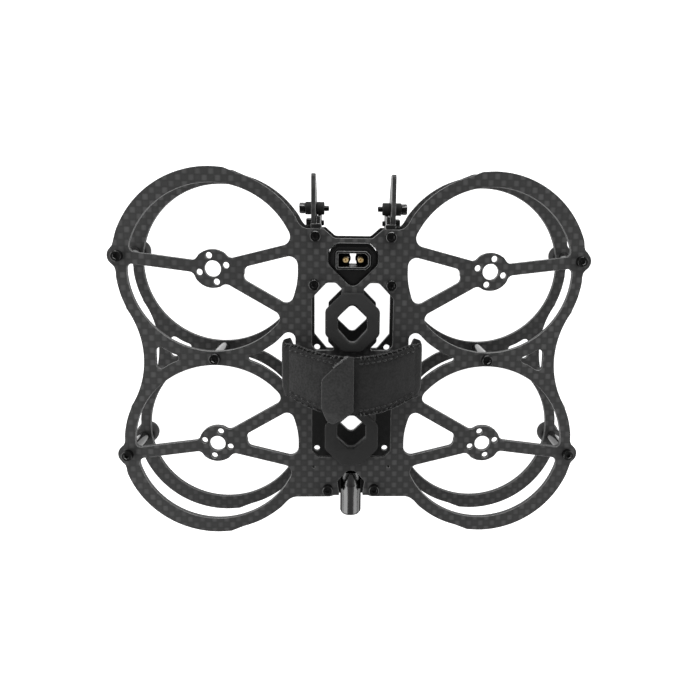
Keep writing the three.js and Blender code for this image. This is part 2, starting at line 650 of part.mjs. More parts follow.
// ---- antenna tube and its holder ----
function antennaTube() {
  const { r, flareR, bore, tipBore, rearY, frontY, z } = TUBE;
  const sides = 28;
  const length = frontY - rearY;
  const profile = [
    [bore, 0], [r - 0.5, 0], [r, 0.6], [r, length - 8], [flareR, length - 4.2], [flareR, length - 3.9],
    [2.3, length], [tipBore, length], [tipBore, length - 5], [bore, length - 6.3], [bore, 0],
  ];
  const barrel = turned(profile, sides).rotateZ(Math.PI / sides);
  const tube = add('antenna_tube', barrel, BLACK_ANODISED, 0, rearY, z);
  tube.rotation.x = -Math.PI / 2;
}

function tubeHolder() {
  const { halfX, rearY, frontY, slit } = HOLDER;
  const { x, y } = REAR_SCREW;
  const low = DECK_Z + TOUCH;
  const high = CEILING_Z - TOUCH;
  const block = box(-halfX, halfX, rearY, frontY, low, high);
  const seatR = TUBE.flareR + 0.1;
  const seat = new THREE.CylinderGeometry(seatR, seatR, 20, 28).translate(0, y, TUBE.z);
  const gap = box(-slit, slit, rearY - 2, frontY + 4, TUBE.z, CEILING_Z + 1);
  const screwHole = (side) =>
    new THREE.CylinderGeometry(1.05, 1.05, 12, 12).rotateX(Math.PI / 2).translate(side * x, y, CEILING_Z);
  const cuts = [seat, gap, screwHole(1), screwHole(-1)];
  const solid = cuts.reduce((left, cut) => left.subtract(toManifold(cut)), toManifold(block));
  add('antenna_tube_holder', fromManifold(solid), RUBBER);
}

topPlate();
bottomPlate();
fasteners();
batteryPads();
strap();
powerConnector();
cameraMount();
antennaTube();
tubeHolder();

export default drone;
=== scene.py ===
# The looks of a bare ducted quadcopter frame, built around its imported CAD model.
# Shapes are worked out in millimetres in the CAD frame (+X right, +Y forward, +Z up) and
# scaled to metres when each piece is made.
import math
import random

import bmesh
import bpy
from mathutils import Euler, Matrix, Vector
from mathutils.geometry import tessellate_polygon


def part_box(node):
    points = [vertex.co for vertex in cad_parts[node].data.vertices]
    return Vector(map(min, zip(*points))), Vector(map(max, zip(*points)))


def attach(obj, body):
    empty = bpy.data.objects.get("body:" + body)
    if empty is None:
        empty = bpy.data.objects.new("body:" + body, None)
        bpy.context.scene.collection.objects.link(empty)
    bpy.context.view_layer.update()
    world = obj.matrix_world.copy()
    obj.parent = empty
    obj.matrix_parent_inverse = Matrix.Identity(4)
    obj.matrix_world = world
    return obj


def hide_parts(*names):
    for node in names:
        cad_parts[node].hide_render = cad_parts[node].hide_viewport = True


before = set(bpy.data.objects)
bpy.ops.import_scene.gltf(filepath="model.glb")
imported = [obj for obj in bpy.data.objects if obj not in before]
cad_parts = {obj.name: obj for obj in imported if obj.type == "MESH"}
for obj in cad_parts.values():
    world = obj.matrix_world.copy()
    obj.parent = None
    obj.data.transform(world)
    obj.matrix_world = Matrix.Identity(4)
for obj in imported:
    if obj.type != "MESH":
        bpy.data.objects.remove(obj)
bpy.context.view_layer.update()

MM = 0.001
FRAME = "frame"
SIDES = (("left", -1), ("right", 1))


def box(node):
    """A CAD node's lowest and highest corners, in millimetres."""
    low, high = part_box(node)
    return low / MM, high / MM


# ---- levels and places read from the CAD ----
TOP_Z = box("top_plate")[1].z
BOTTOM_Z = box("bottom_plate")[0].z


# ---- camera, as far above the frame's nose as the picture was taken ----
def make_camera():
    data = bpy.data.cameras.new("camera")
    data.sensor_width = 36
    data.lens = 31.07
    data.shift_x = -0.03464
    data.shift_y = -0.05709
    data.clip_start = 0.01
    data.clip_end = 20
    camera = bpy.data.objects.new("camera", data)
    camera.location = Vector((-1.832, 51.349, 199.281 + TOP_Z)) * MM
    camera.rotation_euler = Euler([math.radians(a) for a in (-9.822, -2.44, 0.956)])
    bpy.context.collection.objects.link(camera)
    bpy.context.scene.camera = camera


# ---- materials ----
class Material:
    """A node material that is built up by calls; each call gives back an output socket."""

    def __init__(self, name, **settings):
        self.made = bpy.data.materials.new(name)
        self.made.use_nodes = True
        self.tree = self.made.node_tree
        self.shader = self.tree.nodes["Principled BSDF"]
        for socket, value in settings.items():
            self.shader.inputs[socket.replace("_", " ")].default_value = value
        self.place = self.node("ShaderNodeTexCoord").outputs["Object"]

    def node(self, kind, **inputs):
        made = self.tree.nodes.new(kind)
        for name, value in inputs.items():
            self.plug(made.inputs[name.replace("_", " ")], value)
        return made

    def plug(self, socket, value):
        if isinstance(value, bpy.types.NodeSocket):
            self.tree.links.new(value, socket)
        else:
            socket.default_value = value

    def math(self, operation, *values):
        made = self.tree.nodes.new("ShaderNodeMath")
        made.operation = operation
        for socket, value in zip(made.inputs, values):
            self.plug(socket, value)
        return made.outputs[0]

    def between(self, share, low, high):
        """A number from low to high as share goes from 0 to 1."""
        return self.math("MULTIPLY_ADD", share, self.math("SUBTRACT", high, low), low)

    def axes(self, scale=1.0):
        split = self.node("ShaderNodeSeparateXYZ", Vector=self.place)
        return [self.math("MULTIPLY", out, scale) for out in split.outputs]

    def stretched(self, x, y, z):
        mapping = self.node("ShaderNodeMapping", Vector=self.place)
        mapping.inputs["Scale"].default_value = (x, y, z)
        return mapping.outputs[0]

    def noise(self, scale, detail=2.0, vector=None):
        vector = self.place if vector is None else vector
        made = self.node("ShaderNodeTexNoise", Vector=vector, Scale=scale, Detail=detail)
        return made.outputs["Fac"]

    def ramp(self, value, *stops):
        made = self.node("ShaderNodeValToRGB", Fac=value)
        ramp = made.color_ramp
        while len(ramp.elements) < len(stops):
            ramp.elements.new(1)
        for element, (place, tone) in zip(ramp.elements, stops):
            element.position = place
            element.color = grey(tone)
        return made.outputs[0]

    def colour(self, socket):
        self.plug(self.shader.inputs["Base Color"], socket)

    def rough(self, share, low, high):
        self.plug(self.shader.inputs["Roughness"], self.between(share, low, high))

    def bump(self, height, strength, distance):
        made = self.node("ShaderNodeBump", Height=height, Strength=strength, Distance=distance * MM)
        self.plug(self.shader.inputs["Normal"], made.outputs[0])


def grey(tone):
    """A tone, or a red, green and blue, as a colour with full alpha."""
    return (*tone, 1) if isinstance(tone, tuple) else (tone, tone, tone, 1)


WEAVE_PITCH = 2.1
WEAVE_START = 500.25  # whole cells to the left of and behind the frame, so that counts stay positive
# where the painted shade on the lower plate fades out, in millimetres out from the middle
SHADE_X = (17.25, 19.75)


def carbon(name, across, along, shade=None):
    """Plain-woven carbon laminate: tows run over and under each other in the plane of two axes.
    A painted shade darkens the part between the plates, near the middle of the frame: the shadow of the top
    plate and the strap."""
    m = Material(name, Specular_IOR_Level=0.5, Coat_Weight=0.12, Coat_Roughness=0.35)
    axes = m.axes(1 / (WEAVE_PITCH * MM))
    u = m.math("ADD", axes[across], WEAVE_START)
    v = m.math("ADD", axes[along], WEAVE_START)
    cell = m.math("ADD", m.math("FLOOR", u), m.math("FLOOR", v))
    over = m.math("MULTIPLY", m.math("FRACT", m.math("MULTIPLY", cell, 0.5)), 2)
    fu, fv = m.math("FRACT", u), m.math("FRACT", v)
    side = m.between(over, fu, fv)
    length = m.between(over, fv, fu)

    def hump(value, power):
        centred = m.math("ABSOLUTE", m.math("MULTIPLY_ADD", value, 2, -1))
        return m.math("SUBTRACT", 1, m.math("POWER", centred, power))

    crown = hump(side, 4)
    dip = hump(length, 2)
    height = m.math("MULTIPLY", crown, dip)
    strands = m.node("ShaderNodeCombineXYZ", X=m.math("MULTIPLY", side, 26),
                     Y=m.math("MULTIPLY", length, 1.2))
    m.plug(strands.inputs["Z"], m.math("MULTIPLY", cell, 7.3))
    fibre = m.noise(1.0, 2, strands.outputs[0])
    crossing = m.node("ShaderNodeCombineXYZ", X=m.math("FLOOR", u), Y=m.math("FLOOR", v)).outputs[0]
    each = m.node("ShaderNodeTexWhiteNoise", Vector=crossing).outputs["Value"]
    patches = m.math("MULTIPLY", m.between(m.noise(70, 2), 0.3, 1.7), m.between(each, 0.6, 1.25))
    lit = m.math("MULTIPLY", m.math("MULTIPLY", m.between(over, 0.15, 1.0), height), patches)
    tone = m.math("ADD", m.math("MULTIPLY", lit, 0.6), m.math("MULTIPLY", fibre, 0.3))
    # painted shade: the tone is darkened towards the middle, standing for the shadow between the plates
    if shade is not None:
        slope = 1 / (SHADE_X[1] - SHADE_X[0])
        outward = m.math("MULTIPLY_ADD", m.math("ABSOLUTE", m.axes(1 / MM)[0]), slope, -SHADE_X[0] * slope)
        share = m.math("MINIMUM", m.math("MAXIMUM", outward, 0), 1)
        tone = m.math("MULTIPLY", tone, m.between(share, shade, 1))
    m.colour(m.ramp(tone, (0.0, 0.006), (0.12, 0.022), (0.3, 0.034), (0.6, 0.056), (1.0, 0.07)))
    m.rough(fibre, 0.38, 0.62)
    m.bump(m.math("ADD", height, m.math("MULTIPLY", fibre, 0.35)), 0.22, 0.05)
    return m.made


def cut_edge(name):
    """The milled edge of the laminate: plies show as fine lines, with light grey fibre dust."""
    m = Material(name, Specular_IOR_Level=0.4)
    plies = m.noise(1.0, 2, m.stretched(300, 300, 7500))
    m.colour(m.ramp(plies, (0.3, 0.012), (0.7, 0.045)))
    m.rough(plies, 0.45, 0.65)
    m.bump(plies, 0.25, 0.03)
    return m.made


def edge_highlight_line(name, dark=0.08, light=0.2):
    """The narrow broken edge of a part, coloured light as a painted highlight; on carbon, partly bared fibre.
    """
    m = Material(name, Specular_IOR_Level=0.6)
    m.colour(m.ramp(m.noise(900, 2), (0.3, dark), (0.7, light)))
    m.rough(m.noise(400), 0.3, 0.5)
    return m.made


def rubber(name, dark, light, grain=0.3):
    m = Material(name, Specular_IOR_Level=0.35)
    m.colour(m.ramp(m.noise(260, 3), (0.25, dark), (0.75, light)))
    m.rough(m.noise(500, 2), 0.6, 0.8)
    m.bump(m.noise(2600, 2), grain, 0.03)
    return m.made


def printed_rubber(name):
    """Flexible printed plastic: fine layer lines all the way up."""
    m = Material(name, Specular_IOR_Level=0.25)
    height = m.axes(1 / (0.2 * MM))[2]
    layer = m.math("ABSOLUTE", m.math("MULTIPLY_ADD", m.math("FRACT", height), 2, -1))
    m.colour(m.ramp(layer, (0.0, 0.006), (1.0, 0.003)))
    m.rough(m.noise(300), 0.42, 0.6)
    m.bump(m.math("SUBTRACT", 1, layer), 0.4, 0.04)
    return m.made


def black_steel(name):
    m = Material(name, Metallic=1.0)
    m.colour(m.ramp(m.noise(700, 3), (0.3, 0.04), (0.75, 0.09)))
    m.rough(m.noise(900, 2), 0.14, 0.26)
    m.bump(m.noise(3500, 2), 0.12, 0.02)
    return m.made


def anodised(name):
    m = Material(name, Metallic=0.35, Coat_Weight=0.5, Coat_Roughness=0.1)
    turning = m.noise(1.0, 2, m.stretched(60, 60, 2600))
    m.colour(m.ramp(turning, (0.3, 0.012), (0.75, 0.024)))
    m.rough(turning, 0.16, 0.26)
    m.bump(turning, 0.05, 0.01)
    return m.made


def tube_gloss(name):
    """Gloss black anodising, which mirrors the bright sides of the studio in two soft stripes."""
    m = Material(name, Metallic=1.0, Specular_Tint=grey(0.02))
    drawn = m.noise(1.0, 2, m.stretched(2600, 60, 2600))
    m.colour(m.ramp(drawn, (0.3, 0.135), (0.75, 0.17)))
    m.rough(drawn, 0.16, 0.24)
    return m.made


def moulded(name, tone):
    m = Material(name, Specular_IOR_Level=0.3)
    m.colour(m.ramp(m.noise(300, 2), (0.3, tone * 0.75), (0.7, tone)))
    m.rough(m.noise(800, 2), 0.32, 0.5)
    m.bump(m.noise(4200, 2), 0.18, 0.02)
    return m.made


def gold(name):
    m = Material(name, Metallic=0.55)
    m.colour(m.ramp(m.noise(500, 2), (0.3, (0.74, 0.50, 0.20)), (0.7, (0.95, 0.74, 0.40))))
    m.rough(m.noise(900, 2), 0.25, 0.4)
    return m.made


def webbing(name, dark, light, pile):
    """Hook-and-loop webbing: a matted pile of short loops over a ribbed ground."""
    m = Material(name, Specular_IOR_Level=0.15, Sheen_Weight=0.25, Sheen_Roughness=0.5)
    ribs = m.noise(1.0, 1, m.stretched(3200, 900, 900))
    loops = m.noise(1500, 4)
    matted = m.noise(240, 3)
    mixed = m.math("ADD", m.math("MULTIPLY", loops, 0.6), m.math("MULTIPLY", matted, 0.4))
    m.colour(m.ramp(mixed, (0.3, dark), (0.72, light)))
    m.rough(loops, 0.8, 1.0)
    m.bump(m.math("ADD", loops, m.math("MULTIPLY", ribs, 0.5)), pile, 0.16)
    return m.made


def thread(name, tone):
    m = Material(name, Specular_IOR_Level=0.25, Sheen_Weight=0.3)
    twist = m.noise(1.0, 2, m.stretched(3000, 1200, 3000))
    m.colour(m.ramp(twist, (0.3, tone * 0.6), (0.7, tone)))
    m.rough(twist, 0.6, 0.85)
    m.bump(twist, 0.5, 0.05)
    return m.made


def make_materials():
    return {
        "carbon_plan": carbon("carbon_plan", 0, 1),
        # the lower plate's weave carries a painted shade between the plates
        "carbon_lower_painted_shade": carbon("carbon_lower_painted_shade", 0, 1, 0.05),
        "carbon_upright": carbon("carbon_upright", 1, 2),
        "cut_edge": cut_edge("cut_edge"),
        # the plates' edge bevels: partly the lighter bared fibre, partly a painted highlight
        "chamfer": edge_highlight_line("chamfer"),
        "steel": black_steel("black_steel"),
        "anodised": anodised("black_anodised"),
        "tube": tube_gloss("gloss_black_tube"),
        "foot": rubber("black_rubber", 0.006, 0.016),
        "pad": rubber("pad_rubber", 0.018, 0.024, 0.12),
        "holder": printed_rubber("printed_rubber"),
        "plastic": moulded("black_plastic", 0.008),
        "collar": moulded("pin_collar", 0.02),
        "gold": gold("gold_plate"),
        "webbing": webbing("webbing", 0.008, 0.040, 0.9),
        "patch": webbing("webbing_patch", 0.006, 0.022, 0.5),
        "pile": webbing("webbing_loop", 0.012, 0.042, 0.6),
        # the base band is darker than the webbing: partly its own dark weave, partly a painted shade where
        # the sewn layers shadow its outer strips
        "ground": webbing("webbing_ground_painted_shade", 0.004, 0.014, 0.6),
        "thread": thread("strap_thread", 0.022),
        # a painted highlight along the rounded edges of the connector shell's walls
        "rim_highlight": edge_highlight_line("shell_rim_highlight", 0.10, 0.24),
        # a painted glint along the camera brackets' rounded edges, not wear
        "edge_glint": edge_highlight_line("bracket_edge_glint", 0.3, 0.6),
        "fuzz": thread("edge_fuzz", 0.22),
    }


# ---- shapes ----
class Shape:
    """Vertices in millimetres, faces, and each face's material index."""

    def __init__(self):
        self.verts, self.faces, self.marks = [], [], []

    def add(self, verts, faces, marks=0, place=None):
        base = len(self.verts)
        self.verts += [place @ Vector(v) if place else Vector(v) for v in verts]
        self.faces += [[base + i for i in face] for face in faces]
        self.marks += [marks] * len(faces) if isinstance(marks, int) else marks
        return self


def piece(name, shape, materials, body=FRAME, stands_for=(), sharp=32):
    """Makes a piece of the object from a shape, riding on a CAD body."""
    mesh = bpy.data.meshes.new(name)
    mesh.from_pydata([v * MM for v in shape.verts], [], shape.faces)
    for material in materials:
        mesh.materials.append(MATERIALS[material])
    for face, mark in zip(mesh.polygons, shape.marks):
        face.material_index = mark
        face.use_smooth = True
    mesh.validate()
    mesh.set_sharp_from_angle(angle=math.radians(sharp))
    made = bpy.data.objects.new(name, mesh)
    bpy.context.collection.objects.link(made)
    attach(made, body)
    if stands_for:
        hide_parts(*stands_for)
    return made


def softened(points, radius, closed=False):
    """A run of points with each corner rounded off, no further than its sides allow."""
    out = []
    count = len(points)
    for i, point in enumerate(points):
        if not closed and i in (0, count - 1):
            out.append(point)
            continue
        before, after = points[i - 1] - point, points[(i + 1) % count] - point
        reach = min(radius, before.length * 0.48, after.length * 0.48)
        if reach < 1e-4 or before.angle(after, math.pi) > math.radians(172):
            out.append(point)
            continue
        start, end = point + before.normalized() * reach, point + after.normalized() * reach
        for t in (0, 0.25, 0.5, 0.75, 1):
            out.append(start * (1 - t) ** 2 + point * 2 * t * (1 - t) + end * t * t)
    return out


def hexagon(angle):
    """How far a hexagon with a half width of 1 reaches at an angle."""
    return 1 / math.cos((angle + math.pi / 6) % (math.pi / 3) - math.pi / 6)


def knurl(angle):
    return 1 - 0.035 * (0.5 + 0.5 * math.cos(angle * 24))


def plain(angle):
    return 1.0


def spun(rings, segments=32, closed=False):
    """A solid of revolution about Z. Rings are (radius, z, outline) from the bottom up the
    outside; a closed run of rings goes back down inside a hole."""
    verts, rows = [], []
    for radius, z, outline in rings:
        if radius < 1e-6:
            rows.append([len(verts)] * segments)
            verts.append((0, 0, z))
            continue
        rows.append(list(range(len(verts), len(verts) + segments)))
        for j in range(segments):
            angle = 2 * math.pi * j / segments
            reach = radius * outline(angle)
            verts.append((reach * math.cos(angle), reach * math.sin(angle), z))
    faces = []
    pairs = list(zip(rows, rows[1:])) + ([(rows[-1], rows[0])] if closed else [])
    for low, high in pairs:
        for j in range(segments):
            k = (j + 1) % segments
            face = [low[j], low[k], high[k], high[j]]
            face = [v for n, v in enumerate(face) if v != face[n - 1]]
            if len(face) > 2:
                faces.append(face)
    return verts, faces


def round_rings(profile, radius=0.0, closed=False):
    """Rings from [r, z] pairs, with the profile's corners softened."""
    points = [Vector(p) for p in profile]
    if radius:
        points = softened(points, radius, closed)
    return [(p.x, p.y, plain) for p in points]


def left_normals(points):
    """For a closed loop, the unit direction to its left at each point, longer at sharp turns."""
    out = []
    for i, point in enumerate(points):
        before = (point - points[i - 1]).normalized()
        after = (points[(i + 1) % len(points)] - point).normalized()
        both = before + after
        normal = Vector((-both.y, both.x)).normalized()
        out.append(normal / max(0.5, normal.dot(Vector((-before.y, before.x)))))
    return out


def area(points):
    pairs = zip(points, points[1:] + points[:1])
    return sum(a.x * b.y - b.x * a.y for a, b in pairs) / 2


def slab(loops, low, high, bevel, steps=2):
    """A flat solid between two levels with its edges rounded over. The first loop is its
    outline and the others are holes. Marks: 0 on the flats, 1 on the walls, 2 on the edges."""
    loops = [loop if (area(loop) > 0) == (i == 0) else loop[::-1] for i, loop in enumerate(loops)]
    normals = [left_normals(loop) for loop in loops]
    quarter = [math.pi / 2 * i / steps for i in range(steps + 1)]
    levels = [(bevel * (1 - math.sin(a)), low + bevel * (1 - math.cos(a))) for a in quarter]
    levels += [(bevel * (1 - math.cos(a)), high - bevel * (1 - math.sin(a))) for a in quarter]
    verts, faces, marks, rows = [], [], [], []
    for inset, z in levels:
        row = []
        for loop, normal in zip(loops, normals):
            row.append(range(len(verts), len(verts) + len(loop)))
            verts += [(*(p + n * inset), z) for p, n in zip(loop, normal)]
        rows.append(row)
    for level in range(len(levels) - 1):
        wall = 1 if level == steps else 2
        for lower, upper in zip(rows[level], rows[level + 1]):
            count = len(lower)
            for j in range(count):
                k = (j + 1) % count
                faces.append([lower[j], lower[k], upper[k], upper[j]])
                marks.append(wall)
    for row, upward in ((rows[-1], True), (rows[0], False)):
        index = [i for ring in row for i in ring]
        flat = [[Vector((*verts[i][:2], 0)) for i in ring] for ring in row]
        for triangle in tessellate_polygon(flat):
            a, b, c = (Vector(verts[index[i]]) for i in triangle)
            up = (b - a).cross(c - a).z > 0
            corners = [index[i] for i in triangle]
            faces.append(corners if up == upward else corners[::-1])
            marks.append(0)
    return verts, faces, marks


def polygon(corners, step=12):
    """A closed outline from [x, y, r] corners, each rounded with a true arc of radius r."""
    out = []
    for i, (x, y, r) in enumerate(corners):
        corner = Vector((x, y))
        before = Vector(corners[i - 1][:2]) - corner
        after = Vector(corners[(i + 1) % len(corners)][:2]) - corner
        opening = before.angle(after)
        if r < 1e-4:
            out.append(corner)
            continue
        reach = min(r / math.tan(opening / 2), before.length * 0.49, after.length * 0.49)
        start, end = corner + before.normalized() * reach, corner + after.normalized() * reach
        middle = (before.normalized() + after.normalized()).normalized()
        centre = corner + middle * reach / math.cos(opening / 2)
        turn = (start - centre).angle_signed(end - centre)
        count = max(1, math.ceil(abs(turn) / math.radians(step)))
        for n in range(count + 1):
            out.append(centre + turned_by(start - centre, -turn * n / count))
    return out


def turned_by(vector, angle):
    c, s = math.cos(angle), math.sin(angle)
    return Vector((vector.x * c - vector.y * s, vector.x * s + vector.y * c))


def circle(x, y, r, count=24):
    angles = [2 * math.pi * i / count for i in range(count)]
    return [Vector((x + r * math.cos(a), y + r * math.sin(a))) for a in angles]


# ---- outlines of the flat CAD plates, with their arcs made smooth again ----
CORNER = math.radians(65)
FINE_STEP = math.radians(3)


def rim_loops(node, axis):
    """The closed loops round a flat node's face towards +axis, in the other two axes."""
    across, along = [(1, 2), (2, 0), (0, 1)][axis]
    mesh = bmesh.new()
    mesh.from_mesh(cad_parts[node].data)
    bmesh.ops.remove_doubles(mesh, verts=mesh.verts, dist=1e-6)
    mesh.normal_update()
    face_side = {f for f in mesh.faces if f.normal[axis] > 0.99}
    following = {}
    for face in face_side:
        for corner in face.loops:
            if sum(f in face_side for f in corner.edge.link_faces) == 1:
                following[corner.vert] = corner.link_loop_next.vert
    loops = []
    while following:
        start, vert = following.popitem()
        loop = [start]
        while vert is not start:
            loop.append(vert)
            vert = following.pop(vert)
        loops.append([Vector((v.co[across], v.co[along])) / MM for v in loop])
    mesh.free()
    return sorted(loops, key=area, reverse=True)


def wrapped(angle):
    return (angle + math.pi) % (2 * math.pi) - math.pi


def headings(points):
    """At each point of a loop, the directions in which it arrives and leaves, as angles."""
    count = len(points)
    sides = [points[(i + 1) % count] - points[i] for i in range(count)]
    way = [math.atan2(s.y, s.x) for s in sides]
    turn = [wrapped(way[i] - way[i - 1]) for i in range(count)]
    out = []
    for i in range(count):
        if abs(turn[i]) > CORNER:
            out.append((way[i - 1], way[i]))
            continue
        before, after = sides[i - 1].length, sides[i].length
        lean = turn[i] / 2
        if before > 1.25 * after and abs(turn[(i + 1) % count]) < CORNER:
            lean = turn[i] - turn[(i + 1) % count] / 2
        elif after > 1.25 * before and abs(turn[i - 1]) < CORNER:
            lean = turn[i - 1] / 2
        lean = min(max(lean, min(0, turn[i])), max(0, turn[i]))
        out.append((way[i - 1] + lean, way[i - 1] + lean))
    return out


def smooth_loop(points):
    """A loop of straight steps with its arcs filled in, and its true corners kept."""
    ways = headings(points)
    count = len(points)
    out = []
    for i, start in enumerate(points):
        end = points[(i + 1) % count]
        chord = end - start
        leave, arrive = ways[i][1], ways[(i + 1) % count][0]
        bend = abs(wrapped(arrive - leave)) + abs(wrapped(leave - math.atan2(chord.y, chord.x)))
        steps = max(1, math.ceil(bend / FINE_STEP))
        first = Vector((math.cos(leave), math.sin(leave))) * chord.length
        last = Vector((math.cos(arrive), math.sin(arrive))) * chord.length
        for n in range(steps):
            t = n / steps
            h = (2 * t**3 - 3 * t**2 + 1, t**3 - 2 * t**2 + t, -2 * t**3 + 3 * t**2, t**3 - t**2)
            out.append(start * h[0] + first * h[1] + end * h[2] + last * h[3])
    return out


def fine_loop(loop):
    """A small round hole becomes a fine circle; any other loop is smoothed."""
    centre = sum(loop, Vector((0, 0))) / len(loop)
    reach = [(p - centre).length for p in loop]
    if len(loop) <= 16 and max(reach) - min(reach) < 0.01:
        return circle(centre.x, centre.y, max(reach), 32)
    return smooth_loop(loop)


def carbon_plate(node):
    """A carbon plate with woven faces, layered walls and a fine edge bevel coloured light: partly bared
    fibre, partly a painted highlight.
    """
    upright = node.startswith("camera")
    axis = 0 if upright else 2
    low, high = box(node)
    loops = [fine_loop(loop) for loop in rim_loops(node, axis)]
    verts, faces, marks = slab(loops, low[axis], high[axis], 0.09, 1)
    if upright:
        verts = [(z, x, y) for x, y, z in verts]
    shape = Shape().add(verts, faces, marks)
    woven = "carbon_upright" if upright else "carbon_plan" if node == "top_plate" else "carbon_lower_painted_shade"
    piece(f"{node}_carbon", shape, [woven, "cut_edge", "chamfer"], stands_for=[node], sharp=25)


# ---- screws, standoffs, feet ----
HEAD = {"r": 1.85, "h": 1.9, "socket": 0.78, "deep": 1.1}
LOW_HEAD = {"r": 1.85, "h": 1.2, "socket": 0.68, "deep": 0.7}
CLAMP_HEAD = {"r": 1.6, "h": 2.3, "socket": 0.72, "deep": 1.1}


def cap_screw(head, length, thread_from=None):
    """A socket cap screw, its head standing on z = 0. Its shank is threaded below thread_from."""
    shank = 0.98
    rings = [(0, -length, plain), (shank - 0.3, -length, plain), (shank, -length + 0.3, plain)]
    if thread_from is not None:
        z = -length + 0.45
        while z < -thread_from:
            rings += [(shank, z, plain), (shank - 0.13, z + 0.1, plain), (shank - 0.13, z + 0.16, plain)]
            rings += [(shank, z + 0.28, plain)]
            z += 0.4
    r, h, socket, deep = head["r"], head["h"], head["socket"], head["deep"]
    rings += [(shank, 0, plain), (r - 0.12, 0, plain), (r, 0.1, knurl), (r, h - 0.3, knurl)]
    rings += [(r - 0.08, h - 0.12, plain), (r - 0.28, h, plain), (socket + 0.12, h, hexagon)]
    rings += [(socket, h - 0.12, hexagon), (socket, h - deep, hexagon), (0, h - deep - 0.15, plain)]
    return spun(rings, 48)


def facing(point, direction):
    """Places a shape drawn along +Z at a point, along a direction."""
    turn = Vector(direction).to_track_quat("Z", "Y").to_matrix().to_4x4()
    return Matrix.Translation(point) @ turn


def standoff(node):
    low, high = box(node)
    middle = (low + high) / 2
    r = (high.x - low.x) / 2
    bore = 0.9
    profile = [(bore, low.z + 0.5), (bore + 0.3, low.z), (r - 0.25, low.z), (r, low.z + 0.25)]
    profile += [(r, high.z - 0.25), (r - 0.25, high.z), (bore + 0.3, high.z), (bore, high.z - 0.5)]
    verts, faces = spun(round_rings(profile), 40, closed=True)
    place = Matrix.Translation((middle.x, middle.y, 0))
    shape = Shape().add(verts, faces, place=place)
    piece(f"{node}_post", shape, ["anodised"], stands_for=[node])


def screw(node, head, direction, body=FRAME, thread_from=None):
    """A cap screw in the place of a CAD one whose head points along direction."""
    low, high = box(node)
    way = Vector(direction)
    middle = (low + high) / 2
    length = abs(way.dot(high - low))
    top = middle + way * length / 2
    seat = top - way * head["h"]
    verts, faces = cap_screw(head, length - head["h"], thread_from)
    shape = Shape().add(verts, faces, place=facing(seat, direction))
    piece(f"{node}_cap", shape, ["steel"], body, stands_for=[node], sharp=28)


def foot(node):
    low, high = box(node)
    middle = (low + high) / 2
    r = (high.x - low.x) / 2
    profile = [(1.1, 2.6), (2.15, 2.6), (2.15, 0), (r - 0.75, 0), (r - 0.2, 0.45), (r, 1.5), (r, 2.2)]
    profile += [(r - 0.15, 3.3), (r - 0.45, high.z - 0.5), (r - 0.75, high.z), (1.1, high.z)]
    verts, faces = spun(round_rings(profile, 0.4, closed=True), 48, closed=True)
    place = Matrix.Translation((middle.x, middle.y, 0))
    shape = Shape().add(verts, faces, place=place)
    piece(f"{node}_rubber", shape, ["foot"], stands_for=[node])


def fasteners():
    for node in sorted(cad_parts):
        if node.endswith("_standoff"):
            standoff(node)
        elif node.endswith("_foot"):
            foot(node)
        elif node.endswith("_top_screw") or node.startswith("tail_"):
            screw(node, HEAD, (0, 0, 1))
        elif node.endswith("_bottom_screw"):
            screw(node, LOW_HEAD, (0, 0, -1))


# ---- battery pads ----
def battery_pad(node):
    low, high = box(node)
    loops = [fine_loop(loop) for loop in rim_loops(node, 2)]
    verts, faces, _ = slab(loops, low.z, high.z, 0.42, 5)
    made = piece(f"{node}_moulding", Shape().add(verts, faces), ["pad"],
                 stands_for=[node], sharp=50)


# ---- strap ----
STRAP_HIGH = box("battery_strap")[1]
CLOTH_T = 1.15
CLOTH_CELLS = 22
SHOULDER = 2.0
CAD_T = 1.5
ARCH_HALF = STRAP_HIGH.x - CLOTH_T
ARCH_RISE = STRAP_HIGH.z - CAD_T - TOP_Z - SHOULDER
ARCH_POWER = 2.2
SIDE_X = 20.2
# the strap's rear and front y: in the slots, at the lower plate, under the frame and over the top
SIDE_Y = (-8.0, 7.3)
LOW_SIDE_Y = (-8.0, -1.6)
RUN_Y = (-15.2, -3.1)
BAND_Y = (-15.9, 3.4)


def arch_point(u, lift):
    """A point over the strap's arch, from u = -1 at its left end to 1 at its right."""
    x = u * (ARCH_HALF + lift)
    z = TOP_Z + SHOULDER + (ARCH_RISE + lift) * (1 - abs(u) ** ARCH_POWER)
    return Vector((x, z))


def band_y(x):
    """The strap's rear and front y over the arch: it is drawn forward towards both sides."""
    return BAND_Y[0] + 4.0 * min(1, abs(x) / 20.5) ** 2, BAND_Y[1] + 2.6 * min(1, abs(x) / 18) ** 2


def resampled(points, step, closed=False):
    """Points every step along a run."""
    run = points + points[:1] if closed else points
    out, left = [run[0]], step
    for a, b in zip(run, run[1:]):
        length = (b - a).length
        while left <= length:
            out.append(a.lerp(b, left / length))
            left += step
        left -= length
    if closed and (out[-1] - run[0]).length < step * 0.5:
        out.pop()
    return out


